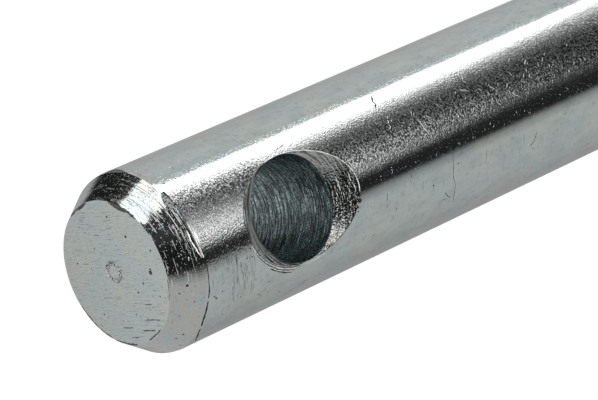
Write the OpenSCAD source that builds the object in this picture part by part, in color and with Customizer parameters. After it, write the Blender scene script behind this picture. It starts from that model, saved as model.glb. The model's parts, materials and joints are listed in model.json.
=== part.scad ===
// Lower link pin for a category 1 three-point linkage.
// One turned steel bar, standing on its plain end. +Z runs up the pin, the origin is the
// centre of the plain end face, and the linchpin hole lies along Y near the top.

/* [Shank] */
// Diameter of the bar that the link ball turns on
shank_d = 22; // [19:0.1:28]
// Length over both end faces
pin_len = 140; // [90:1:220]

/* [End chamfers] */
// Length of each chamfer along the pin
chamfer_len = 3.5; // [2:0.1:5]
// How far a chamfer cuts in at the end face, on the radius
chamfer_cut = 2.3; // [1:0.1:4]
// Length of the shallow lead between chamfer and shank
lead_len = 0.6; // [0.3:0.1:1.5]
// How far the lead cuts in where it meets the chamfer, on the radius
lead_cut = 0.08; // [0.02:0.01:0.3]

/* [Linchpin hole] */
// Diameter of the cross-drilled hole
hole_d = 12.7; // [9:0.1:14]
// Distance from the top face to the middle of the hole
hole_from_end = 20.5; // [17:0.5:30]
// Width of the countersink's slope at the crown of the shank, on the radius
sink_w = 2.85; // [1:0.05:3.5]
// Included angle of the countersink
sink_angle = 108; // [80:1:130]

/* [Centre mark] */
// Outer diameter of the ring that the cut-off tool left round the centre
mark_d = 2.4; // [1.5:0.1:4]
// Width of the ring
mark_w = 0.5; // [0.2:0.05:0.7]
// Depth of the ring
mark_deep = 0.12; // [0.05:0.01:0.3]

/* [Hidden] */
$fn = 128;

shank_r = shank_d / 2;
face_r = shank_r - chamfer_cut;
hole_z = pin_len - hole_from_end;
sink_deep = sink_w / tan(sink_angle / 2);
// The cutters run this far past the surface they open
past = 1;

// One end of the bar's half section, from the face's rim to the shank: [radius, distance from the face].
function end_slope() = [
    [face_r, 0],
    [shank_r - lead_cut, chamfer_len],
    [shank_r, chamfer_len + lead_len]
];

// The ring's half section in the top face: a V with its tip at half its width.
function centre_ring() = [
    [mark_d / 2 - mark_w, pin_len],
    [mark_d / 2 - mark_w / 2, pin_len - mark_deep],
    [mark_d / 2, pin_len]
];

// The turned bar: plain end below, holed end with its centre mark on top.
module bar() {
    bottom = end_slope();
    top = [for (i = [len(bottom) - 1 : -1 : 0]) [bottom[i][0], pin_len - bottom[i][1]]];
    ring = [for (i = [2 : -1 : 0]) centre_ring()[i]];
    rotate_extrude()
        polygon(concat([[0, 0]], bottom, top, ring, [[0, pin_len]]));
}

// Conical mouth of the hole, cut down from the crown of the shank on the +Z side of its own axis.
module mouth() {
    spread = tan(sink_angle / 2);
    translate([0, 0, shank_r - sink_deep])
        cylinder(h = sink_deep + past, r1 = hole_d / 2, r2 = hole_d / 2 + (sink_deep + past) * spread);
}

// The drilled hole with a countersunk mouth on each side of the shank, along Z.
module linchpin_hole() {
    cylinder(h = shank_d + 2 * past, d = hole_d, center = true);
    for (side = [0, 180])
        rotate([side, 0, 0])
            mouth();
}

module link_pin() {
    color([0.72, 0.75, 0.75])
        difference() {
            bar();
            translate([0, 0, hole_z])
                rotate([90, 0, 0])
                    linchpin_hole();
        }
}

link_pin();
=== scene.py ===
import bpy
import json
import math
import random
from mathutils import Matrix, Vector

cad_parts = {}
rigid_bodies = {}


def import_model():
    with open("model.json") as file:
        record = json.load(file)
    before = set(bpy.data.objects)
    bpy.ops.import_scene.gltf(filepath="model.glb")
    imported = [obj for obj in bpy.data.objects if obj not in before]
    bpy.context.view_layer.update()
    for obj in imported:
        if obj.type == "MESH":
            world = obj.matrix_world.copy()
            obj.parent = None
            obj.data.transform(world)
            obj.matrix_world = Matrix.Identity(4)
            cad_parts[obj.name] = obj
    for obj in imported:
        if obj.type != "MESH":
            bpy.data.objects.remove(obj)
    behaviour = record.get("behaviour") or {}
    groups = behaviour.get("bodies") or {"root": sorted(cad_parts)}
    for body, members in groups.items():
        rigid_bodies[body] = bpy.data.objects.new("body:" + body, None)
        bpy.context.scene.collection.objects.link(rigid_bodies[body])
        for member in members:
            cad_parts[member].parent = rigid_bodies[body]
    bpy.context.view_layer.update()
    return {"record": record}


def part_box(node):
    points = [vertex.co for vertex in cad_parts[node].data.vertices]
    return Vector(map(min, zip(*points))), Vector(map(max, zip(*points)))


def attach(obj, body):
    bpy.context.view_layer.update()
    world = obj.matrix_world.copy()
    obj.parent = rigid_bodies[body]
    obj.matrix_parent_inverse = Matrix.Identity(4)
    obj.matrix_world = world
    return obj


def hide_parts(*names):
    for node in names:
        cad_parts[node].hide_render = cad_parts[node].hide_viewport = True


# Lower link pin: a turned, cross-drilled and zinc-plated steel bar, standing on its plain end.
# Lengths are in metres; tables marked mm are in millimetres.
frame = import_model()
mm = 0.001

mounts = {mount["name"]: mount for mount in frame["record"]["mounts"]}
_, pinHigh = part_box("link_pin")
pinLength = pinHigh.z
pinRadius = mounts["link_shank"]["dims"]["r_mm"] * mm
holeRadius = mounts["linchpin_hole"]["dims"]["r_mm"] * mm
holeZ = mounts["linchpin_hole"]["pos_m"][2]
holeWall = mounts["linchpin_hole"]["dims"]["length_mm"] * mm / 2   # the straight wall's reach along Y


def deselectAll():
    if bpy.context.mode != "OBJECT":
        bpy.ops.object.mode_set(mode="OBJECT")
    bpy.ops.object.select_all(action="DESELECT")


def makeActive(obj):
    deselectAll()
    obj.select_set(True)
    bpy.context.view_layer.objects.active = obj


def startPiece(name):
    obj = bpy.context.active_object
    obj.name = name
    obj.data.name = name
    return obj


def newObject(name, data):
    obj = bpy.data.objects.new(name, data)
    bpy.context.scene.collection.objects.link(obj)
    return obj


def applyPlace(obj):
    makeActive(obj)
    bpy.ops.object.transform_apply(location=True, rotation=True, scale=True)


def roundShape(name, segments, points, ends="NGON"):
    # a round solid on the Z axis, or a sleeve with no ends, carried from ring to ring, (height, radius) each
    deselectAll()
    startZ, startRadius = points[0]
    bpy.ops.mesh.primitive_circle_add(
        vertices=segments, radius=startRadius, fill_type=ends, location=(0, 0, startZ))
    obj = startPiece(name)
    applyPlace(obj)
    bpy.ops.object.mode_set(mode="EDIT")
    bpy.ops.mesh.select_all(action="SELECT")
    for (fromZ, fromRadius), (toZ, toRadius) in zip(points, points[1:]):
        ratio = toRadius / fromRadius
        bpy.ops.mesh.extrude_region_move(TRANSFORM_OT_translate={"value": (0, 0, toZ - fromZ)})
        bpy.ops.transform.resize(value=(ratio, ratio, 1))
    bpy.ops.mesh.select_all(action="SELECT")
    bpy.ops.mesh.normals_make_consistent(inside=False)
    bpy.ops.object.mode_set(mode="OBJECT")
    return obj


def joinAll(parts, name):
    makeActive(parts[0])
    for part in parts[1:]:
        part.select_set(True)
    bpy.ops.object.join()
    return startPiece(name)


def carve(obj, tool, operation="DIFFERENCE", overlapping=False):
    makeActive(obj)
    cut = obj.modifiers.new("carve", "BOOLEAN")
    cut.operation = operation
    cut.solver = "EXACT"
    cut.use_self = overlapping
    cut.material_mode = "TRANSFER"
    cut.object = tool
    bpy.ops.object.modifier_apply(modifier=cut.name)
    bpy.data.objects.remove(tool)


camera = {
    "place": (0.05316, -0.30571, 0.37969),
    "right": (-0.302598, -0.659828, -0.687795),
    "up": (0.943953, -0.107635, -0.312037),
    "back": (0.131860, -0.743668, 0.655417),
    "lens": 207.78,
    "sensor": 36,
    "near": 0.01,
    "far": 50,
}
eye = bpy.data.cameras.new("eye")
eye.sensor_width = camera["sensor"]
eye.lens = camera["lens"]
eye.clip_start = camera["near"]
eye.clip_end = camera["far"]
eyeObject = newObject("eye", eye)
turn = Matrix((camera["right"], camera["up"], camera["back"])).transposed().to_4x4()
eyeObject.matrix_world = Matrix.Translation(camera["place"]) @ turn
bpy.context.scene.camera = eyeObject
print("camera set")


def addNode(tree, kind, **settings):
    # a new node; each setting is one of its own, a socket's value, or another node's output to join there
    node = tree.nodes.new("ShaderNode" + kind)
    for key, value in settings.items():
        if isinstance(value, bpy.types.NodeSocket):
            tree.links.new(value, node.inputs[key.replace("_", " ")])
        elif hasattr(node, key):
            setattr(node, key, value)
        else:
            node.inputs[key.replace("_", " ")].default_value = value
    return node


def reckon(tree, operation, *values, kind="Math", **settings):
    # one sum, where each value is a number or another node's output
    node = addNode(tree, kind, operation=operation, **settings)
    for socket, value in zip(node.inputs, values):
        if isinstance(value, bpy.types.NodeSocket):
            tree.links.new(value, socket)
        else:
            socket.default_value = value
    return node.outputs[0]


def objectPlace(tree):
    return addNode(tree, "TexCoord").outputs["Object"]


def azimuthOf(tree, place):
    apart = addNode(tree, "SeparateXYZ", Vector=place).outputs
    return reckon(tree, "ARCTAN2", apart["Y"], apart["X"])


def heightOf(tree, place):
    return addNode(tree, "SeparateXYZ", Vector=place).outputs["Z"]


def between(tree, value, start, stop, low=0.0, high=1.0, curve="LINEAR"):
    # low up to start and high from stop on, with a slope of this kind from the one to the other
    node = addNode(tree, "MapRange", interpolation_type=curve, Value=value, From_Min=start, From_Max=stop)
    node.inputs["To Min"].default_value = low
    node.inputs["To Max"].default_value = high
    return node.outputs["Result"]


def fallingOff(tree, value, start, stop):
    return between(tree, value, start, stop, 1.0, 0.0, "SMOOTHSTEP")


def newGroup(name, inputs, result, resultKind):
    # a node group with its inputs, (name, kind, value) each, and its one result
    tree = bpy.data.node_groups.new(name, "ShaderNodeTree")
    for socket, kind, value in inputs:
        made = tree.interface.new_socket(socket, in_out="INPUT", socket_type="NodeSocket" + kind)
        made.default_value = value
    tree.interface.new_socket(result, in_out="OUTPUT", socket_type="NodeSocket" + resultKind)
    given = tree.nodes.new("NodeGroupInput").outputs
    return tree, given, tree.nodes.new("NodeGroupOutput").inputs[result]


def markGroup():
    # lines, grain or blotches: noise drawn out by a different size each way, sizes in metres
    tree, given, mask = newGroup(
        "toolMarks",
        [("Size", "Vector", (mm, mm, mm)), ("Turn", "Float", 0.0), ("Detail", "Float", 2.0),
         ("From", "Float", 0.35), ("To", "Float", 0.65)],
        "Mask", "Float")
    place = objectPlace(tree)
    turned = addNode(tree, "VectorRotate", rotation_type="Z_AXIS", Vector=place, Angle=given["Turn"])
    scaled = reckon(tree, "DIVIDE", turned.outputs["Vector"], given["Size"], kind="VectorMath")
    cloud = addNode(tree, "TexNoise", Scale=1.0, Roughness=0.55, Vector=scaled, Detail=given["Detail"])
    tree.links.new(between(tree, cloud.outputs["Fac"], given["From"], given["To"]), mask)
    return tree


def pitGroup():
    # scattered round pits: Size is the spacing in metres, Share how many cells hold one
    tree, given, mask = newGroup(
        "pitMarks",
        [("Size", "Vector", (mm, mm, mm)), ("Share", "Float", 0.3), ("Radius", "Float", 0.3)],
        "Mask", "Float")
    place = objectPlace(tree)
    scaled = reckon(tree, "DIVIDE", place, given["Size"], kind="VectorMath")
    cells = addNode(tree, "TexVoronoi", Scale=1.0, Vector=scaled).outputs
    chance = addNode(tree, "SeparateXYZ", Vector=cells["Color"]).outputs
    chosen = reckon(tree, "LESS_THAN", chance["X"], given["Share"])
    reach = reckon(tree, "MULTIPLY", chance["Y"], given["Radius"])
    hollow = fallingOff(tree, cells["Distance"], 0.0, reach)
    tree.links.new(reckon(tree, "MULTIPLY", hollow, chosen), mask)
    return tree


def stripGroup():
    # soft strips along the pin, every third of a turn from the azimuth Middle, angles in radians, up to Top
    tree, given, mask = newGroup(
        "sideStrips",
        [("Middle", "Float", 0.0), ("Half Width", "Float", 0.4), ("Edge", "Float", 0.1),
         ("Top", "Float", 1.0), ("Fade", "Float", 4 * mm)],
        "Mask", "Float")
    place = objectPlace(tree)
    shifted = reckon(tree, "SUBTRACT", azimuthOf(tree, place), given["Middle"])
    aside = reckon(tree, "ABSOLUTE", reckon(tree, "WRAP", shifted, math.pi / 3, -math.pi / 3))
    inner = reckon(tree, "SUBTRACT", given["Half Width"], given["Edge"])
    outer = reckon(tree, "ADD", given["Half Width"], given["Edge"])
    across = fallingOff(tree, aside, inner, outer)
    end = reckon(tree, "ADD", given["Top"], given["Fade"])
    upward = fallingOff(tree, heightOf(tree, place), given["Top"], end)
    tree.links.new(reckon(tree, "MULTIPLY", across, upward), mask)
    return tree


def tintGroup():
    # the plating's colour: cool zinc with warmer clouds
    tree, given, colour = newGroup(
        "zincTint",
        [("Cool", "Color", (0.68, 0.74, 0.74, 1)), ("Warm", "Color", (0.74, 0.74, 0.70, 1)),
         ("Size", "Float", 5 * mm)],
        "Color", "Color")
    place = objectPlace(tree)
    perMetre = reckon(tree, "DIVIDE", 1.0, given["Size"])
    scaled = addNode(tree, "VectorMath", operation="SCALE", Vector=place, Scale=perMetre).outputs["Vector"]
    cloud = addNode(tree, "TexNoise", Scale=1.0, Detail=3.0, Roughness=0.5, Vector=scaled)
    spread = between(tree, cloud.outputs["Fac"], 0.35, 0.65)
    mix = addNode(tree, "Mix", data_type="RGBA", Factor=spread, A=given["Cool"], B=given["Warm"])
    tree.links.new(mix.outputs["Result"], colour)
    return tree


toolMarks = markGroup()
pitMarks = pitGroup()
sideStrips = stripGroup()
zincTint = tintGroup()


def maskOf(tree, layer):
    # the mask of one layer, times the mask that it lies within
    if "share" in layer:
        group = pitMarks
        settings = {"Share": layer["share"], "Radius": layer["radius"]}
    elif "middle" in layer:
        group = sideStrips
        settings = {"Middle": math.radians(layer["middle"]), "Half_Width": math.radians(layer["half"]),
                    "Edge": math.radians(layer["edge"]), "Top": layer.get("top", 1000) * mm,
                    "Fade": layer.get("fade", 4) * mm}
    else:
        group = toolMarks
        low, high = layer.get("span", (0.35, 0.65))
        settings = {"Detail": layer.get("detail", 2.0), "From": low, "To": high,
                    "Turn": math.radians(layer.get("turn", 0.0))}
    if "size" in layer:   # one for each way, or the same for all three
        size = layer["size"]
        settings["Size"] = [way * mm for way in (size if isinstance(size, tuple) else (size, size, size))]
    mask = addNode(tree, "Group", node_tree=group, **settings).outputs["Mask"]
    if "within" in layer:
        mask = reckon(tree, "MULTIPLY", mask, maskOf(tree, layer["within"]))
    return mask


def zinc(name, look):
    # one finish: tint, roughness and bumps, each bump laid on the one before
    material = bpy.data.materials.new(name)
    material.use_nodes = True
    tree = material.node_tree
    join = tree.links.new
    shader = tree.nodes["Principled BSDF"]
    shader.inputs["Metallic"].default_value = look.get("metal", 1.0)
    shader.inputs["Roughness"].default_value = look["rough"]
    tint = addNode(
        tree, "Group", node_tree=zincTint, Cool=(*look["cool"], 1), Warm=(*look["warm"], 1),
        Size=look["cloud"] * mm)
    colour = tint.outputs["Color"]
    for stain in look.get("stains", []):
        mask = maskOf(tree, stain)
        mix = addNode(tree, "Mix", data_type="RGBA", Factor=mask, A=colour, B=(*stain["colour"], 1))
        colour = mix.outputs["Result"]
    join(colour, shader.inputs["Base Color"])
    rough = None
    normal = None
    for layer in look["layers"]:
        mask = maskOf(tree, layer)
        if "depth" in layer:
            bump = addNode(tree, "Bump", Strength=1.0, Distance=layer["depth"] * mm, Height=mask)
            if normal:
                join(normal, bump.inputs["Normal"])
            normal = bump.outputs["Normal"]
        if "rough" in layer:
            part = between(tree, mask, 0.0, 1.0, high=layer["rough"])
            rough = reckon(tree, "ADD", rough, part) if rough else part
    if rough:
        join(reckon(tree, "ADD", rough, look["rough"], use_clamp=True), shader.inputs["Roughness"])
    if normal:
        join(normal, shader.inputs["Normal"])
    return material


# strips along the shank, in degrees; one stops at the height top, in mm, or starts there if fade is negative
scuffs = {"middle": -66, "half": 22, "edge": 7}   # rubbed by the ball
pepper = {"middle": -72, "half": 12, "edge": 7, "top": 124}   # dull grain inside the rubbed strips
gritty = {"middle": -88, "half": 9, "edge": 5}   # small steep grit along one edge of them
upperGrit = {"middle": -38.2, "half": 2.0, "edge": 2}   # and along the other
endPepper = {"middle": -58, "half": 9, "edge": 6, "top": 124, "fade": -4}   # dull grain near the holed end
endScuffs = {"middle": -82, "half": 20, "edge": 6, "top": 124, "fade": -4}
looks = {   # sizes, clouds and depths in mm; span is the noise where a mark begins and where it is full
    "shank": {
        "cool": (0.635, 0.72, 0.725), "warm": (0.7, 0.74, 0.7), "cloud": 5, "rough": 0.06,
        "stains": [
            {"size": (1.5, 1.5, 3), "span": (0.42, 0.75), "detail": 3, "colour": (0.57, 0.63, 0.62)},
            {**scuffs, "colour": (0.67, 0.69, 0.68)},
            {"size": 0.6, "span": (0.55, 0.85), "detail": 4, "colour": (0.4, 0.43, 0.42)},
            {"size": 1.6, "share": 0.25, "radius": 0.11, "colour": (0.16, 0.17, 0.17)},
            {"size": (2.2, 2.2, 0.12), "span": (0.62, 0.75), "colour": (0.42, 0.46, 0.46),
             "within": {"size": 4, "span": (0.5, 0.62)}},
            {"size": (0.26, 0.26, 0.2), "span": (0.46, 0.55), "detail": 1,
             "colour": (0.09, 0.095, 0.095), "within": pepper},
            {"size": (0.26, 0.26, 0.2), "span": (0.47, 0.58), "detail": 1,
             "colour": (0.12, 0.13, 0.13), "within": endPepper},
        ],
        "layers": [
            {"size": (0.6, 0.6, 0.17), "depth": 0.008, "within": scuffs},
            {"size": (0.17, 0.17, 0.15), "depth": 0.012, "detail": 1, "within": scuffs},
            {"size": (0.22, 0.22, 0.18), "depth": 0.007, "detail": 1, "within": endScuffs},
            {"size": (0.22, 0.22, 0.18), "span": (0.68, 0.73), "depth": 0.01, "detail": 1,
             "within": gritty},
            {"size": (0.24, 0.24, 0.2), "span": (0.58, 0.67), "depth": 0.007, "detail": 1,
             "within": upperGrit},
            {"size": (0.5, 0.5, 0.4), "depth": 0.0006, "rough": 0.05, "detail": 1},
        ],
    },
    "chamfer": {
        "cool": (0.66, 0.725, 0.73), "warm": (0.735, 0.735, 0.69), "cloud": 3, "rough": 0.06,
        "stains": [
            {"size": 0.4, "span": (0.6, 0.8), "colour": (0.42, 0.46, 0.46)},
        ],
        "layers": [
            {"size": (3, 3, 0.22), "span": (0.6, 0.69), "depth": 0.016},
            {"size": (0.24, 0.24, 0.17), "span": (0.65, 0.71), "depth": 0.015, "detail": 1},
            {"size": (0.25, 0.25, 0.2), "depth": 0.002, "rough": 0.05, "detail": 1},
        ],
    },
    "face": {
        "cool": (0.65, 0.725, 0.73), "warm": (0.71, 0.745, 0.7), "cloud": 5, "rough": 0.2,
        "stains": [
            {"size": (0.09, 0.7, 1), "turn": 8, "span": (0.57, 0.74),
             "colour": (0.33, 0.37, 0.37)},
            {"size": (0.12, 2.2, 1), "turn": 2, "span": (0.62, 0.76), "colour": (0.22, 0.26, 0.26)},
            {"size": 1.1, "share": 0.3, "radius": 0.12, "colour": (0.22, 0.24, 0.24)},
        ],
        "layers": [
            {"size": (0.2, 4, 1), "depth": 0.006, "turn": 6.5},
        ],
    },
    "bore": {
        "cool": (0.51, 0.63, 0.64), "warm": (0.62, 0.69, 0.69), "cloud": 2, "rough": 0.18,
        "stains": [
            {"size": (3, 0.26, 3), "span": (0.47, 0.57), "colour": (0.06, 0.09, 0.095)},
            {"size": 0.24, "span": (0.47, 0.6), "detail": 1,
             "colour": (0.15, 0.2, 0.205)},
        ],
        "layers": [
            {"size": (3, 0.27, 3), "span": (0.42, 0.58), "depth": 0.052, "detail": 1},
            {"size": (0.3, 0.25, 0.3), "depth": 0.006, "rough": 0.1},
        ],
    },
    "sink": {
        "cool": (0.56, 0.6, 0.59), "warm": (0.64, 0.64, 0.6), "cloud": 3, "rough": 0.12,
        "stains": [
            {"size": (3, 0.24, 3), "span": (0.54, 0.61), "colour": (0.22, 0.235, 0.23)},
            {"size": 0.5, "span": (0.58, 0.8), "colour": (0.3, 0.31, 0.3)},
        ],
        "layers": [
            {"size": (3, 0.26, 3), "depth": 0.034},
            {"size": 0.26, "depth": 0.024, "detail": 1},
        ],
    },
    "lip": {
        "cool": (0.3, 0.33, 0.325), "warm": (0.4, 0.4, 0.37), "cloud": 1, "rough": 0.38, "metal": 0.35,
        "stains": [
            {"size": (5, 0.2, 5), "span": (0.46, 0.54), "colour": (0.03, 0.035, 0.035)},
            {"size": 0.3, "span": (0.54, 0.7), "colour": (0.08, 0.09, 0.09)},
        ],
        "layers": [{"size": (5, 0.2, 5), "depth": 0.05}],
    },
    "rubbed": {
        "cool": (0.48, 0.54, 0.545), "warm": (0.56, 0.575, 0.545), "cloud": 1, "rough": 0.25,
        "layers": [{"size": 0.25, "depth": 0.01}],
    },
    "stamped": {
        "cool": (0.55, 0.6, 0.6), "warm": (0.6, 0.61, 0.585), "cloud": 0.5, "rough": 0.3,
        "stains": [{"size": 0.22, "span": (0.5, 0.58), "colour": (0.1, 0.115, 0.115)}],
        "layers": [{"size": 0.22, "depth": 0.03}],
    },
    "dimple": {
        "cool": (0.42, 0.47, 0.47), "warm": (0.55, 0.55, 0.51), "cloud": 0.5, "rough": 0.42,
        "layers": [{"size": 0.25, "depth": 0.03}],
    },
    # a near-black, dull finish: partly real wear, partly painted shade in pits, scratches, chips and torn
    # edges
    "wearAndShade": {
        "cool": (0.05, 0.06, 0.065), "warm": (0.12, 0.115, 0.1), "cloud": 1, "rough": 0.55, "metal": 0.6,
        "layers": [{"size": 0.2, "depth": 0.01}],
    },
    # a near-white, mostly non-metallic finish that looks lit under any lamp: painted glints and highlights on
    # small dents, strokes, scratches, the junction and the hole's rim
    "bright": {
        "cool": (0.86, 0.88, 0.88), "warm": (0.84, 0.84, 0.82), "cloud": 1, "rough": 0.3, "metal": 0.2,
        "layers": [{"size": 0.2, "depth": 0.01}],
    },
}
finishes = {name: zinc("zinc" + name.capitalize(), look) for name, look in looks.items()}
print("finishes mixed:", len(finishes))

pin = {
    "segments": 320,
    "chamferLength": 3.5 * mm,
    "chamferCut": 2.3 * mm,
    "leadLength": 0.6 * mm,
    "leadCut": 0.08 * mm,
    "grooves": 11,   # turned grooves on each chamfer
    "grooveSpan": (0.02, 0.96),   # where they lie on its slope
    "grooveWidth": (0.05, 0.12),   # least and most half width, in mm
    "grooveDepth": 0.010 * mm,
    "depthSpread": (0.4, 1.6),   # least and most of that depth
    "leastGap": 0.005 * mm,   # between two rings of the chamfer
    "wideRings": range(6, 106, 10),   # heights of the shank's rings, in mm
    "closeRings": 33,   # and closer ones where the wear lies
    "closeFrom": 106 * mm,
    "closeStep": 0.8,   # in mm
    "smoothAngle": math.radians(20),
    "seed": 5,
}


def endProfile():
    # half section of one end, (distance from the face, radius), with the tool marks of its chamfer
    rng = random.Random(pin["seed"])
    faceRadius = pinRadius - pin["chamferCut"]
    points = [(0.0, faceRadius)]
    slope = Vector((pin["chamferLength"], pin["chamferCut"] - pin["leadCut"]))
    across = Vector((slope.y, -slope.x)).normalized()
    for at in sorted(rng.uniform(*pin["grooveSpan"]) for _ in range(pin["grooves"])):
        width = rng.uniform(*pin["grooveWidth"]) * mm / slope.length
        depth = pin["grooveDepth"] * rng.uniform(*pin["depthSpread"])
        for step, sink in ((-1, 0), (0, 1), (1, 0)):
            along = slope * (at + step * width)
            if along.x > points[-1][0] + pin["leastGap"]:
                fromFace = along.x + across.x * depth * sink
                points.append((fromFace, faceRadius + along.y + across.y * depth * sink))
    points.append((pin["chamferLength"], pinRadius - pin["leadCut"]))
    points.append((pin["chamferLength"] + pin["leadLength"], pinRadius))
    return points


end = endProfile()
shankRings = [z * mm for z in pin["wideRings"]]
shankRings += [pin["closeFrom"] + step * pin["closeStep"] * mm for step in range(pin["closeRings"])]
profile = end + [(z, pinRadius) for z in shankRings]
profile += [(pinLength - z, radius) for z, radius in reversed(end)]
body = roundShape("linkPinBody", pin["segments"], profile)
print("bar turned:", len(body.data.polygons), "faces")

hole = {
    "segments": 200,
    "sinkAngle": math.radians(54),
    "past": 1.0 * mm,   # how far the tool runs out of the bar
    "feed": 0.58 * mm,
    "feedDepth": 0.028 * mm,
    "feedSpread": (0.7, 1.4),   # least and most of that feed
    "depthSpread": (0.4, 1.5),   # and of that depth
    "feedMark": ((0.30, 1), (0.55, 0.6), (1, 0)),   # shares of the feed and of the depth there
    "rimSteps": 40,   # of narrowing down where the countersink meets the shank
    "lipFrom": 25,   # the part of the countersink left rough, in degrees round the hole
    "lipTo": 178,
    "seed": 11,
}


def holeProfile():
    # the drill's and countersink's path, (place along the hole, radius), with a ring for each turn's feed
    rng = random.Random(hole["seed"])
    wide = hole["past"] + pinRadius - holeWall
    mouthRadius = holeRadius + wide * math.tan(hole["sinkAngle"])
    points = [(-pinRadius - hole["past"], mouthRadius), (-holeWall, holeRadius)]
    at = -holeWall
    while at < holeWall - 2 * hole["feed"]:
        pitch = hole["feed"] * rng.uniform(*hole["feedSpread"])
        deep = hole["feedDepth"] * rng.uniform(*hole["depthSpread"])
        points += [(at + pitch * along, holeRadius + deep * sunk) for along, sunk in hole["feedMark"]]
        at += pitch
    return points + [(holeWall, holeRadius), (pinRadius + hole["past"], mouthRadius)]


cutter = roundShape("holeCutter", hole["segments"], holeProfile())
cutter.rotation_euler = (math.radians(90), 0, 0)
cutter.location = (0, 0, holeZ)
applyPlace(cutter)
carve(body, cutter)
print("hole drilled:", len(body.data.polygons), "faces")

finishEdges = {
    "flush": 0.01 * mm,   # how near a facet lies to a surface that it's part of
    "boreSlack": 0.05 * mm,
    "leadShare": 0.9,   # how much of the lead looks like the chamfer
    "sinkReach": 1.6,   # in radii of the hole
    "sinkSlope": 0.97,   # a facet that points outwards more than this is the shank's
}


def finishAt(polygon):
    # the finish's name for one facet, by its place and direction
    centre, normal = polygon.center, polygon.normal
    fromHole = math.hypot(centre.x, centre.z - holeZ)
    fromAxis = math.hypot(centre.x, centre.y)
    fromEnd = min(centre.z, pinLength - centre.z)
    outward = Vector((centre.x, centre.y, 0)).normalized()
    inBore = fromHole < holeRadius + finishEdges["boreSlack"] and fromAxis < pinRadius - finishEdges["flush"]
    nearHole = fromHole < holeRadius * finishEdges["sinkReach"]
    if fromEnd < finishEdges["flush"]:
        return "face"
    if inBore and abs(centre.y) <= holeWall:
        return "bore"
    if fromEnd < pin["chamferLength"] + pin["leadLength"] * finishEdges["leadShare"]:
        return "chamfer"
    if nearHole and abs(centre.y) > holeWall and normal.dot(outward) < finishEdges["sinkSlope"]:
        turn = math.degrees(math.atan2(centre.z - holeZ, centre.x)) % 360
        return "lip" if hole["lipFrom"] < turn < hole["lipTo"] else "sink"
    return "shank"


finishOrder = list(finishes)
body.data.materials.clear()
for finish in finishes.values():
    body.data.materials.append(finish)
for polygon in body.data.polygons:
    polygon.material_index = finishOrder.index(finishAt(polygon))

# near-black marks below are partly wear and partly painted shade in their hollows and edges; near-white ones
# are painted glints
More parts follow.
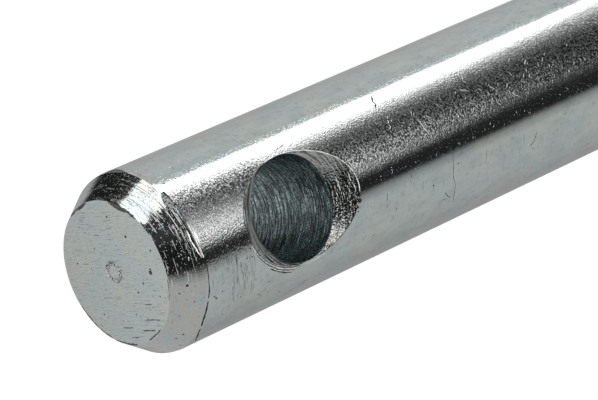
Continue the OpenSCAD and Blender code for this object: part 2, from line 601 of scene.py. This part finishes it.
wear = {   # mm and degrees; a path on the shank or chamfer is (azimuth, height), on the end face (x, y)
    "facePits": [   # x, y, radius
        (6.61, -1.59, 0.12), (3.99, -3.73, 0.16), (-0.53, -5.99, 0.24), (-0.15, -6.1, 0.13),
        (-1.67, -4.17, 0.13), (-2.62, -2.8, 0.13), (1.76, 6.22, 0.12), (1.96, -7.21, 0.13),
        (3.18, 2.34, 0.09), (-4.6, 4.4, 0.1),
        (-1.2, -5, 0.08), (5.2, 3.1, 0.08), (-5.1, -1.2, 0.09), (0.9, 4, 0.08), (-3.4, -6.3, 0.1),
        (1.15, 0.45, 0.06), (0.55, 1.22, 0.05), (-0.42, 1.12, 0.06), (-0.88, 0.1, 0.05), (-0.35, -0.62, 0.07),
        (0.48, -0.7, 0.05), (1.05, -0.18, 0.05), (0.3, 0.35, 0.05)],
    "faceScratches": [   # width, path
        (0.07, [(-5.9, -2.45), (-5.96, -3.6), (-6.12, -5.04)]),
        (0.06, [(-6.44, 1.81), (-6.55, 0.9), (-6.59, 0.06)]),
        (0.08, [(-7.08, -1.51), (-7.15, -2.4), (-7.26, -3.59)]),
        (0.08, [(-8.33, -1.98), (-7.95, -2.9), (-7.63, -3.76), (-7.2, -4.6)]),
        (0.05, [(-4.1, -3.2), (-4.2, -4.5)]),
        (0.05, [(-7.75, 0.9), (-7.8, -0.4)]),
    ],
    "faceStrokes": [   # patches of faint strokes: from and to x, from and to y, how many
        (-8, -1.5, -6, 3.5, 40), (4.5, 8, -3, 4, 26), (-1, 4, -6, 5, 16)],
    "endPits": [   # azimuth, height, radius
        (-112.8, 139.07, 0.12), (-107.8, 138.26, 0.18), (-154.2, 138.07, 0.13), (-148.6, 137.72, 0.14),
        (-161.8, 137.03, 0.12), (-131, 138.9, 0.09), (-120, 137.6, 0.1)],
    "shankPits": [
        (-121, 134.9, 0.13), (-118.5, 133.9, 0.1), (-137, 133.2, 0.1), (-127.5, 126.1, 0.1),
        (-113.7, 98.07, 0.14), (-106.6, 93.5, 0.12), (-40.8, 135.1, 0.12), (-41, 133.3, 0.1),
        (-124, 117.5, 0.1), (-130, 108.2, 0.09), (-118, 104.6, 0.1), (-101, 127.8, 0.11),
        (-104.4, 127.3, 0.12), (-104, 128.2, 0.1), (-100, 129, 0.1), (-105.3, 128.9, 0.09),
        (-104.8, 129.9, 0.09), (-102.4, 128.6, 0.08), (-106.5, 127.9, 0.08), (-99.1, 134.4, 0.09),
        (-105.8, 132.8, 0.08), (-86.4, 132.5, 0.09), (-90.2, 135.3, 0.1), (-102, 131.2, 0.08)],
    "dents": {   # softer ones by finish: azimuth, height, radius
        "dimple": [
            (-135.6, 127.1, 0.24), (-134.4, 127.5, 0.18), (-142.2, 123.4, 0.22), (-128.8, 130.7, 0.16),
            (-119.5, 135.2, 0.2), (-121.6, 134.7, 0.16), (-92.5, 132.3, 0.22), (-81.8, 137.4, 0.17),
            (-82.9, 137.45, 0.14)],
        # near-white dents: painted glints
        "bright": [(-90, 137.6, 0.08), (-91.4, 137.65, 0.07), (-87, 138.4, 0.07)],
    },
    "facets": [(-53, 136.5, 26, 0.07, "stamped")],   # knocked off the edge: azimuth, height, tilt, depth
    "brushed": [   # patches of strokes across the pin: azimuths, heights, count, half length, slant, finish
        (-104, -130, 128.6, 132.2, 46, 5, 0.03, "rubbed"), (-100, -116, 126, 135.5, 34, 4, 0.03, "rubbed"),
        (-30, -42, 126, 135.5, 12, 3, 0.06, "rubbed"), (-100, -125, 84, 108, 14, 4, 0.03, "rubbed"),
        # the near-white strokes here are painted glints
        (-64, -84, 66, 100, 70, 1.6, 0.25, "bright"), (-48, -60, 60, 108, 24, 1.6, 0.25, "bright"),
        (-56, -80, 126, 135, 18, 2, 0.15, "bright"), (-90, -97, 70, 108, 22, 0.9, 0.25, "bright")],
    # near-white scratches are painted glints; near-black ones are partly wear, partly painted shade
    "scratches": [   # width, finish, path
        (0.12, "wearAndShade", [(-42.4, 100.8), (-46.9, 101.5), (-49.5, 101.5), (-52.4, 102)]),
        (0.06, "bright", [(-60.3, 101.35), (-61.4, 101.5), (-62, 101.5)]),
        (0.075, "bright", [(-62.7, 101.7), (-63.9, 101.75), (-64.6, 101.95)]),
        (0.05, "bright", [(-63.4, 101.2), (-64.9, 101.4)]),
        (0.065, "bright", [(-66, 102), (-67.3, 101.95), (-68.6, 102.2)]),
        (0.045, "wearAndShade", [(-61, 101.7), (-62.8, 101.95), (-65.6, 102.15)]),
        (0.017, "bright", [(-71.1, 111.6), (-69.9, 110.9)]),
        (0.02, "bright", [(-69.2, 110.4), (-68.3, 109.9), (-67.4, 109.2)]),
        (0.016, "bright", [(-66.8, 108.9), (-65.9, 108.1), (-65.2, 107.7)]),
        (0.018, "bright", [(-64.7, 107.2), (-64, 106.7)]),
        (0.045, "wearAndShade", [
            (-97.2, 94.05), (-106.5, 94.4), (-114.4, 94.5), (-119.6, 94), (-124.7, 94), (-128.7, 93.9),
            (-135, 93.6)]),
        (0.055, "wearAndShade", [(-122.7, 95.8), (-126.4, 95.2), (-129.1, 94.5)]),
        (0.04, "wearAndShade", [(-128.9, 96.9), (-127.9, 95.9), (-128.6, 95)]),
        (0.065, "bright", [(-71.1, 97.5), (-77.2, 97.3), (-81.3, 96.9)]),
        (0.075, "dimple", [(-109.6, 78.9), (-115.2, 79.3), (-117.9, 80.2)]),
        (0.04, "wearAndShade", [(-150.1, 122), (-147.2, 120.2), (-143.3, 118.4)]),
        (0.06, "wearAndShade", [(-51, 119.1), (-50.5, 118.1), (-49.4, 117.2)]),
        (0.028, "bright", [(-32.2, 134.2), (-33.4, 133.7)]),
        (0.028, "bright", [(-34.4, 135.1), (-34.9, 134.6), (-33.9, 134.3)]),
        (0.028, "bright", [(-29.4, 132.4), (-30.4, 131.9)]),
        (0.025, "bright", [(-27, 130.5), (-28.6, 130.2)]),
        (0.06, "bright", [(-87.3, 131.3), (-85.1, 130.8), (-84, 130.1)]),
        (0.035, "wearAndShade", [(-110.3, 130.7), (-117.8, 130.5), (-125.9, 130)]),
        (0.045, "dimple", [(-108.3, 131.6), (-116.8, 131.3), (-121.9, 131)]),
        (0.04, "dimple", [(-106.5, 130.2), (-113, 130), (-119, 129.8)]),
        (0.05, "dimple", [(-118, 132.3), (-126, 132), (-131, 131.6)]),
        (0.035, "dimple", [(-112, 132.2), (-118, 131.9)]),
    ],
    # its near-black lines are partly torn edge, partly painted shade; its near-white lines are painted
    # highlights
    "junction": [   # the torn edge between chamfer and shank: width, finish, path
        (0.09, "wearAndShade", [(-96.5, 135.9), (-104.4, 135.97), (-113.9, 136), (-119, 136.1)]),
        (0.16, "wearAndShade", [(-120.5, 136.15), (-123.6, 136.2), (-129, 136.3), (-134.6, 136.35), (-140, 136.3)]),
        (0.14, "wearAndShade", [(-142, 136.25), (-146.7, 136.2), (-152, 135.9), (-157.4, 135.5)]),
        (0.11, "bright", [(-70.5, 136.3), (-76, 136.3), (-80.9, 136.3), (-87, 136.2), (-93, 136.1)]),
        (0.08, "bright", [(-74.3, 136.75), (-80.5, 136.8), (-88.5, 136.6), (-92.5, 136.3)]),
        (0.1, "wearAndShade", [(-73, 136.5), (-80.5, 136.55), (-91, 136.35)]),
        (0.14, "wearAndShade", [(6, 136.3), (-2, 136.25), (-10, 136.3), (-17, 136.45)]),
        (0.14, "wearAndShade", [(6, 135.95), (0, 135.95), (-7, 136), (-12, 136.1)]),
        (0.12, "wearAndShade", [(6, 135.6), (1, 135.65), (-5, 135.75)]),
        (0.05, "wearAndShade", [(-62, 136.3), (-66, 136.35), (-69.5, 136.35)]),
    ],
    # near-black chips: partly chipped edge, partly painted shade along the face's rim
    "faceRim": [   # chips where the face meets the chamfer: half width, from and to azimuth, inside the edge
        (0.16, -18, -48, 0.07), (0.15, -20, -37, 0.26), (0.12, -23, -33, 0.44), (0.12, 8, 32, 0.07),
        (0.12, 11, 22, 0.24), (0.1, 112, 150, 0.07), (0.12, 154, 178, 0.07), (0.08, 120, 128, 0.18),
        (0.05, -100, -118, 0.07)],
    "centreRing": {"at": (0.14, 0.28), "radius": 1.05, "thick": 0.5, "deep": 0.12, "uneven": 0.09},
    "holePits": [   # angle round the hole, off its rim, radius
        (-104, 0.1, 0.3), (-109, 0.12, 0.17), (-112, 0.35, 0.12), (-100, 0.05, 0.16)],
    # the near-white rods are painted highlights along the hole's rim; the near-black ones are partly burr,
    # partly painted shade
    "holeBurrs": [   # thin lips thrown up round the hole: half width, finish, off its rim, from and to angle
        (0.045, "bright", 0, 20, -98), (0.055, "wearAndShade", 0.02, -112, -165), (0.05, "lip", 0.02, 28, 172),
        (0.06, "wearAndShade", 0.2, 55, 168), (0.05, "bright", 0.34, 100, 166), (0.06, "wearAndShade", 0.48, 108, 160),
        (0.045, "bright", 0.62, 122, 158), (0.09, "wearAndShade", 0.74, 128, 158), (0.04, "bright", 0.3, 176, 205)],
    "seed": 21,
}
marks = {   # how the tools that leave the wear are made, mm and degrees; pairs are least and most
    "width": (0.65, 1.25),   # of a rod along its length, as a share
    "tip": 0.35,   # of a rod's width at its ends
    "fewest": 6,   # steps of a rod round the hole or the face
    "pitUneven": 0.25,
    "pitOut": 0.3,   # how far a pit's middle stands out, in its radii
    "dentOut": 0.55,
    "facePitSize": 1.2,
    "scratchStep": 0.3,   # scratches on the face
    "scratchShake": 0.02,
    "strokeReach": (0.15, 0.7),   # faint strokes on the face
    "strokeWidth": (0.02, 0.042),
    "strokeBends": (-1, -0.4, 0.3, 1),
    "strokeLean": 0.09,
    "strokeShake": 0.012,
    "strokeOut": 0.006,
    "strokeDarkShare": 0.25,   # the share of them that is dark
    "brushReach": (0.3, 1.2),   # strokes across the pin, of their half length
    "brushBends": (-1, -0.5, 0, 0.5, 1),
    "rubbedWidth": (0.03, 0.075),
    # the width of the near-white strokes, which are painted glints
    "paintedGlintWidth": (0.022, 0.036),
    "turnPerMm": 5.2,   # degrees round the shank to a millimetre
    "shankStep": 1.6,
    "shankShake": 0.03,
    "shankOut": 0.01,
    "rimStep": 1.6,
    "rimShake": 0.05,
    "burrStep": 3,
    "burrShake": 0.02,
    "flatBlock": 5,   # side of the block that knocks off a flat
}


def alongPath(path, step):
    # points between those given, no further apart than step
    points = [Vector(path[0])]
    for start, stop in zip(path, path[1:]):
        start, stop = Vector(start), Vector(stop)
        parts = max(1, math.ceil((stop - start).length / step))
        points += [start.lerp(stop, part / parts) for part in range(1, parts + 1)]
    return points


def alongTurn(start, stop, step):
    # angles from start to stop, about a step apart
    count = max(marks["fewest"], int(abs(stop - start) / step))
    return [start + (stop - start) * index / count for index in range(count + 1)]


def eitherWay(rng, most):
    return rng.uniform(-most, most)


def radiusAt(z):
    # the pin's radius at a height near its holed end
    gap = pinLength - z
    if gap >= pin["chamferLength"] + pin["leadLength"]:
        return pinRadius
    if gap >= pin["chamferLength"]:
        return pinRadius - pin["leadCut"] * (1 - (gap - pin["chamferLength"]) / pin["leadLength"])
    rise = (pin["chamferCut"] - pin["leadCut"]) / pin["chamferLength"]
    return pinRadius - pin["chamferCut"] + gap * rise


def aroundAxis(angle, reach, z):
    return Vector((reach * math.cos(angle), reach * math.sin(angle), z))


def aroundPin(azimuth, height, off=0.0):
    # a point on the pin's skin, or off outside it
    return aroundAxis(math.radians(azimuth), radiusAt(height * mm) + off, height * mm)


def groove(rng, points, width, finish):
    # a thin rod along the points, to cut or to weld on, uneven in width and tapering off at both ends
    widths = [width * mm * rng.uniform(*marks["width"]) for _ in points]
    widths[0] *= marks["tip"]
    widths[-1] *= marks["tip"]
    curve = bpy.data.curves.new("groove", "CURVE")
    curve.dimensions = "3D"
    curve.bevel_depth = 1.0
    curve.bevel_resolution = 1
    curve.use_fill_caps = True
    line = curve.splines.new("POLY")
    line.points.add(len(points) - 1)
    for corner, point, radius in zip(line.points, points, widths):
        corner.co = (*point, 1)
        corner.radius = radius
    makeActive(newObject("groove", curve))
    bpy.ops.object.convert(target="MESH")
    obj = bpy.context.active_object
    obj.data.materials.append(finishes[finish])
    return obj


def roughen(offset, uniform, seed):
    bpy.ops.object.mode_set(mode="EDIT")
    bpy.ops.mesh.select_all(action="SELECT")
    bpy.ops.transform.vertex_random(offset=offset, uniform=uniform, seed=seed)
    bpy.ops.object.mode_set(mode="OBJECT")


def pit(place, radius, finish="wearAndShade"):
    # a small rough ball; balls of another size get another shape
    deselectAll()
    bpy.ops.mesh.primitive_ico_sphere_add(subdivisions=2, radius=radius, location=place)
    obj = startPiece("pit")
    applyPlace(obj)
    roughen(offset=radius * marks["pitUneven"], uniform=0.5, seed=int(radius * 1e8) % 97)
    # by default near black: partly the pit's own colour, partly painted shade in its hollow
    obj.data.materials.append(finishes[finish])
    return obj


def aroundHole(degrees, off):
    # a point on the shank's -Y side at this angle round the hole, off outside the countersink's rim
    angle = math.radians(degrees)
    reach = holeRadius
    for _ in range(hole["rimSteps"]):
        depth = math.sqrt(pinRadius ** 2 - (reach * math.cos(angle)) ** 2)
        reach = (reach + holeRadius + (depth - holeWall) * math.tan(hole["sinkAngle"])) / 2
    reach += off
    x = reach * math.cos(angle)
    return Vector((x, -math.sqrt(pinRadius ** 2 - x ** 2), holeZ + reach * math.sin(angle)))


def facetTool(azimuth, height, tilt, depth, finish):
    # a block that knocks a flat off an edge
    turn, lift = math.radians(azimuth), math.radians(tilt)
    outward = Vector((math.cos(lift) * math.cos(turn), math.cos(lift) * math.sin(turn), math.sin(lift)))
    deselectAll()
    bpy.ops.mesh.primitive_cube_add(
        size=marks["flatBlock"] * mm,
        location=aroundPin(azimuth, height) + outward * (marks["flatBlock"] / 2 - depth) * mm,
        rotation=outward.to_track_quat("Z", "Y").to_euler())
    obj = startPiece("facet")
    applyPlace(obj)
    obj.data.materials.append(finishes[finish])
    return obj


def ringTool(ring):
    deselectAll()
    x, y = ring["at"]
    bpy.ops.mesh.primitive_torus_add(
        major_segments=40, minor_segments=10, major_radius=ring["radius"] * mm,
        minor_radius=ring["thick"] * mm,
        location=(x * mm, y * mm, pinLength + (ring["thick"] - ring["deep"]) * mm))
    obj = startPiece("centreRing")
    applyPlace(obj)
    roughen(offset=ring["uneven"] * mm, uniform=0.3, seed=wear["seed"])
    obj.data.materials.append(finishes["stamped"])
    return obj


def burrRods():
    rng = random.Random(wear["seed"] + 1)
    rods = []
    for width, finish, off, start, stop in wear["holeBurrs"]:
        points = [aroundHole(degrees, (off + eitherWay(rng, marks["burrShake"])) * mm)
                  for degrees in alongTurn(start, stop, marks["burrStep"])]
        rods.append(groove(rng, points, width, finish))
    return rods


def faceTools(rng):
    tools = []
    for x, y, radius in wear["facePits"]:
        place = (x * mm, y * mm, pinLength + radius * marks["pitOut"] * mm)
        tools.append(pit(place, radius * marks["facePitSize"] * mm))
    for width, path in wear["faceScratches"]:
        points = [Vector((*point, 0)) * mm for point in alongPath(path, marks["scratchStep"])]
        points = [Vector((p.x + eitherWay(rng, marks["scratchShake"]) * mm, p.y, pinLength)) for p in points]
        tools.append(groove(rng, points, width, "wearAndShade"))
    for fromX, toX, fromY, toY, count in wear["faceStrokes"]:
        for _ in range(count):
            x, y, reach = rng.uniform(fromX, toX), rng.uniform(fromY, toY), rng.uniform(*marks["strokeReach"])
            points = []
            for bend in marks["strokeBends"]:
                aside = marks["strokeLean"] * bend * reach
                point = Vector((x + aside + eitherWay(rng, marks["strokeShake"]), y + bend * reach, 0)) * mm
                points.append(Vector((point.x, point.y, pinLength + marks["strokeOut"] * mm)))
            finish = "wearAndShade" if rng.random() < marks["strokeDarkShare"] else "dimple"
            tools.append(groove(rng, points, rng.uniform(*marks["strokeWidth"]), finish))
    return tools


def shankTools(rng):
    tools = []
    for azimuth, height, radius in wear["endPits"] + wear["shankPits"]:
        tools.append(pit(aroundPin(azimuth, height, radius * marks["pitOut"] * mm), radius * mm))
    for finish, dents in wear["dents"].items():
        for azimuth, height, radius in dents:
            tools.append(pit(aroundPin(azimuth, height, radius * marks["dentOut"] * mm), radius * mm, finish))
    tools += [facetTool(*facet) for facet in wear["facets"]]
    for start, stop, low, high, count, longest, slant, finish in wear["brushed"]:
        for _ in range(count):
            azimuth, height = rng.uniform(start, stop), rng.uniform(low, high)
            lean, reach = eitherWay(rng, slant), longest * rng.uniform(*marks["brushReach"])
            width = rng.uniform(*marks["rubbedWidth" if finish == "rubbed" else "paintedGlintWidth"])
            points = [aroundPin(azimuth + bend * reach, height + bend * reach * lean, width * 0.5 * mm)
                      for bend in marks["brushBends"]]
            tools.append(groove(rng, points, width, finish))
    turnPerMm, shake, out = marks["turnPerMm"], marks["shankShake"], marks["shankOut"] * mm
    for width, finish, path in wear["scratches"] + wear["junction"]:
        points = alongPath([(azimuth, height * turnPerMm) for azimuth, height in path], marks["shankStep"])
        points = [aroundPin(p.x, p.y / turnPerMm + eitherWay(rng, shake), out) for p in points]
        tools.append(groove(rng, points, width, finish))
    return tools


def rimTools(rng):
    tools = []
    rimRadius = pinRadius - pin["chamferCut"]
    for width, start, stop, inside in wear["faceRim"]:
        points = []
        for degrees in alongTurn(start, stop, marks["rimStep"]):
            reach = rimRadius - (inside + eitherWay(rng, marks["rimShake"])) * mm
            points.append(aroundAxis(math.radians(degrees), reach, pinLength))
        tools.append(groove(rng, points, width, "wearAndShade"))
    for degrees, off, radius in wear["holePits"]:
        tools.append(pit(aroundHole(degrees, off * mm), radius * mm))
    return tools


def wearTools():
    rng = random.Random(wear["seed"])
    return faceTools(rng) + shankTools(rng) + rimTools(rng) + [ringTool(wear["centreRing"])]


def dropChips(obj):
    # crumbs that the cuts left loose go, and only what joins the foot of the bar stays
    makeActive(obj)
    bpy.ops.object.mode_set(mode="EDIT")
    bpy.ops.mesh.select_mode(type="VERT")
    bpy.ops.mesh.select_all(action="DESELECT")
    bpy.ops.object.mode_set(mode="OBJECT")
    foot = min(obj.data.vertices, key=lambda corner: corner.co.z)
    foot.select = True
    bpy.ops.object.mode_set(mode="EDIT")
    bpy.ops.mesh.select_linked()
    bpy.ops.mesh.select_all(action="INVERT")
    bpy.ops.mesh.delete(type="VERT")
    bpy.ops.object.mode_set(mode="OBJECT")


carve(body, joinAll(burrRods(), "burrRods"), "UNION", overlapping=True)
carve(body, joinAll(wearTools(), "wearTools"), overlapping=True)
dropChips(body)
print("wear carved:", len(body.data.polygons), "faces")

makeActive(body)
bpy.ops.object.shade_smooth_by_angle(angle=pin["smoothAngle"])
flat = body.data.materials.find("zincFace")
for polygon in body.data.polygons:
    if polygon.material_index == flat:
        polygon.use_smooth = False
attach(body, "root")
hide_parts("link_pin")
body.data.calc_loop_triangles()
print("pin finished:", len(body.data.loop_triangles), "triangles")


def onlyReflected(obj):
    obj.visible_camera = False
    obj.visible_diffuse = False
    obj.visible_shadow = False
    obj.visible_volume_scatter = False


def rayShare(tree, amount):
    # amount on camera, glossy and transmission rays, 0 on the rest
    path = addNode(tree, "LightPath").outputs
    seen = reckon(tree, "ADD", path["Is Camera Ray"], path["Is Glossy Ray"], use_clamp=True)
    seen = reckon(tree, "ADD", seen, path["Is Transmission Ray"], use_clamp=True)
    return reckon(tree, "MULTIPLY", seen, amount)


def emptyMaterial(name):
    material = bpy.data.materials.new(name)
    material.use_nodes = True
    material.node_tree.nodes.clear()
    return material, material.node_tree


def glowAt(tree, strength):
    # plain light of this strength, a number or another node's output
    shine = addNode(tree, "Emission", Strength=strength)
    addNode(tree, "OutputMaterial", Surface=shine.outputs[0])


floor = {"size": 30.0, "tone": 0.9, "glow": 0.9, "below": 0.05 * mm}
deselectAll()
bpy.ops.mesh.primitive_plane_add(size=floor["size"], location=(0, 0, -floor["below"]))
floorObject = startPiece("floor")
paper, tree = emptyMaterial("floorPaper")
lit = addNode(tree, "BsdfDiffuse", Color=(floor["tone"], floor["tone"], floor["tone"], 1))
shine = addNode(tree, "Emission", Strength=1.0)
mix = addNode(tree, "MixShader", Fac=rayShare(tree, floor["glow"]))
tree.links.new(lit.outputs[0], mix.inputs[1])
tree.links.new(shine.outputs[0], mix.inputs[2])
addNode(tree, "OutputMaterial", Surface=mix.outputs[0])
floorObject.data.materials.append(paper)

# the tent that the metal mirrors: tones by azimuth, in degrees from +X
tent = {
    "steps": 120,
    "foot": 9.3 * mm,
    "inner": 12 * mm,
    "outer": 300 * mm,
    "low": 0.4 * mm,
    "wallTop": 400 * mm,
    "top": 520 * mm,
    "cardGap": 4 * mm,
}
tones = {
    "tentShade": [(-180, 0.16), (-60, 0.1), (40, 0.14), (180, 0.16)],
    "tentFloor": [
        (-180, 0.46), (-150, 0.5), (-128, 0.49), (-118, 0.3), (-112, 0.02), (-98, 0.02), (-92, 0.03),
        (-50, 0.06), (-40, 0.13), (-32, 0.3), (-27, 0.98), (-21, 2.4), (-15, 2.6), (-4, 2.6), (-2.5, 0.54),
        (20, 0.58), (44, 0.52), (60, 0.45), (120, 0.33), (150, 0.36), (180, 0.46)],
    "tentWall": [
        (-180, 0.45), (-130, 0.45), (-122, 0.3), (-112, 0.015), (-80, 0.012), (-72, 0.03), (-58, 0.05),
        (-50, 0.03), (-38, 0.04), (-30, 0.06), (6, 0.06), (24, 0.015), (60, 0.015), (70, 0.4), (90, 0.46),
        (180, 0.45)],
    "tentCrown": [(-180, 0.5), (-130, 0.6), (-120, 1), (30, 1), (70, 0.5), (180, 0.5)],
}
specks = {   # the flecks in the floor's dark part, and the glow beyond the far radius
    "share": [(-180, 0), (-99, 0), (-94, 0.08), (-90, 0.35), (-84, 0.52), (-76, 0.42), (-68, 0.28),
              (-60, 0.16), (-50, 0.13), (-40, 0.15), (-24, 0), (180, 0)],
    "glow": [(-180, 0), (-100, 0), (-96, 0.05), (-91, 0.4), (-84, 1.65), (-76, 1.55), (-68, 0.7),
             (-60, 0.24), (-44, 0.1), (-30, 0), (180, 0)],
    "tone": 0.54, "from": 0.53, "to": 0.6, "alongRadius": 18, "alongTurn": 22,
    "glowFrom": 127 * mm, "glowTo": 142 * mm,
}


def toneRound(tree, angle, stops):
    # a tone that changes with the azimuth
    curve = addNode(tree, "ValToRGB", Fac=between(tree, angle, -math.pi, math.pi))
    ramp = curve.color_ramp
    brightest = max(tone for _, tone in stops)
    while len(ramp.elements) < len(stops):
        ramp.elements.new(0.5)
    for element, (azimuth, tone) in zip(ramp.elements, stops):
        element.position = (azimuth + 180) / 360
        element.color = (tone / brightest, tone / brightest, tone / brightest, 1)
    return reckon(tree, "MULTIPLY", curve.outputs["Color"], brightest)


def fleckedTone(tree, place, angle):
    # flecks laid out on the logarithm of the radius and the azimuth, plus the glow
    reach = addNode(tree, "VectorMath", operation="LENGTH", Vector=place).outputs["Value"]
    along = reckon(tree, "MULTIPLY", reckon(tree, "LOGARITHM", reach, math.e), specks["alongRadius"])
    around = reckon(tree, "MULTIPLY", angle, specks["alongTurn"])
    flat = addNode(tree, "CombineXYZ", X=along, Y=around).outputs["Vector"]
    cloud = addNode(tree, "TexNoise", Scale=1.0, Detail=1.0, Vector=flat).outputs["Fac"]
    spots = between(tree, cloud, specks["from"], specks["to"], high=specks["tone"])
    beyond = between(tree, reach, specks["glowFrom"], specks["glowTo"], curve="SMOOTHSTEP")
    flecks = reckon(tree, "MULTIPLY", spots, toneRound(tree, angle, specks["share"]))
    glow = reckon(tree, "MULTIPLY", beyond, toneRound(tree, angle, specks["glow"]))
    return reckon(tree, "ADD", flecks, glow)


def tentMaterial(name):
    material, tree = emptyMaterial(name + "Tones")
    place = objectPlace(tree)
    angle = azimuthOf(tree, place)
    tone = toneRound(tree, angle, tones[name])
    if name == "tentFloor":
        tone = reckon(tree, "ADD", tone, fleckedTone(tree, place, angle))
    glowAt(tree, tone)
    return material


rings = {   # each from one ring to another, (height, radius)
    "tentShade": [(tent["low"], tent["foot"]), (tent["low"], tent["inner"])],
    "tentFloor": [(tent["low"], tent["inner"]), (tent["low"], tent["outer"])],
    "tentWall": [(tent["low"], tent["outer"]), (tent["wallTop"], tent["outer"])],
    "tentCrown": [(tent["wallTop"], tent["outer"]), (tent["top"], tent["outer"])],
}
for name, points in rings.items():
    ring = roundShape(name, tent["steps"], points, ends="NOTHING")
    ring.data.materials.append(tentMaterial(name))
    onlyReflected(ring)

cards = [   # flat cards inside the tent wall: azimuths in degrees, heights in mm, tone at foot and head
    {"name": "whiteCard", "from": -33, "to": 13, "foot": 150, "head": 345, "tones": (1.4, 1.4),
     "flare": 0.35},   # wider at the head than at the foot
    {"name": "holeCard", "from": -64, "to": -40, "foot": 30, "head": 215, "tones": (1.2, 1.4)},
    {"name": "sideCard", "from": 20, "to": 60, "foot": 190, "head": 330, "tones": (0.35, 0.35)},
    {"name": "faceCard", "from": 80, "to": 120, "foot": 250, "head": 500, "tones": (0.2, 0.95)},
]
for card in cards:
    middle = math.radians((card["from"] + card["to"]) / 2)
    half = math.radians((card["to"] - card["from"]) / 2)
    reach = (tent["outer"] - tent["cardGap"]) * math.cos(half)
    foot, head = card["foot"] * mm, card["head"] * mm
    deselectAll()
    bpy.ops.mesh.primitive_plane_add(
        size=1, location=aroundAxis(middle, reach, (foot + head) / 2),
        rotation=(math.radians(90), 0, middle + math.radians(90)))
    cardObject = startPiece(card["name"])
    cardObject.scale = (2 * reach * math.tan(half), head - foot, 1)
    applyPlace(cardObject)
    for vertex in cardObject.data.vertices:
        aside = 1 + card.get("flare", 0) * (1 if vertex.co.z > (foot + head) / 2 else -1)
        middlePoint = aroundAxis(middle, reach, vertex.co.z)
        vertex.co = middlePoint + (vertex.co - middlePoint) * aside
    material, tree = emptyMaterial(card["name"] + "Tones")
    glowAt(tree, between(tree, heightOf(tree, objectPlace(tree)), foot, head, *card["tones"]))
    cardObject.data.materials.append(material)
    onlyReflected(cardObject)

bandShade = {
    "tone": 0.18,
    "height": 2 * tent["low"],
    "corners": [(-36, 50), (-10, 50), (-25.5, 122), (-36, 122)],   # azimuth, reach in mm
}
deselectAll()
bpy.ops.mesh.primitive_plane_add(size=1, location=(0, 0, bandShade["height"]))
shadeObject = startPiece("bandShade")
applyPlace(shadeObject)
ordered = sorted(shadeObject.data.vertices, key=lambda vertex: math.atan2(vertex.co.y, vertex.co.x))
for vertex, (azimuth, reach) in zip(ordered, bandShade["corners"]):
    vertex.co = aroundAxis(math.radians(azimuth), reach * mm, bandShade["height"])
material, tree = emptyMaterial("bandShadeTone")
glowAt(tree, bandShade["tone"])
shadeObject.data.materials.append(material)
onlyReflected(shadeObject)

lamps = [
    {"name": "topSoftbox", "place": (0.15, -0.05, 0.9), "size": 0.35, "watts": 6.0},
    {"name": "sideSoftbox", "place": (1.0, -0.2, 0.7), "size": 0.6, "watts": 10.0},
]
lampTarget = Vector((0, 0, 0.1))   # on the pin's axis
for lamp in lamps:
    light = bpy.data.lights.new(lamp["name"], "AREA")
    light.shape = "SQUARE"
    light.size = lamp["size"]
    light.energy = lamp["watts"]
    lightObject = newObject(lamp["name"], light)
    lightObject.visible_glossy = False
    aim = (lampTarget - Vector(lamp["place"])).to_track_quat("-Z", "Y")
    lightObject.matrix_world = Matrix.Translation(lamp["place"]) @ aim.to_matrix().to_4x4()

studio = {"seen": 1.0, "lit": 0.5}   # the world's strength to the camera and mirrors, and as light
world = bpy.data.worlds.new("studio")
bpy.context.scene.world = world
world.use_nodes = True
tree = world.node_tree
back = tree.nodes["Background"]
back.inputs["Color"].default_value = (1, 1, 1, 1)
seen = rayShare(tree, studio["seen"] - studio["lit"])
tree.links.new(reckon(tree, "ADD", seen, studio["lit"]), back.inputs["Strength"])
bpy.context.scene.view_settings.view_transform = "Standard"
print("stage set")
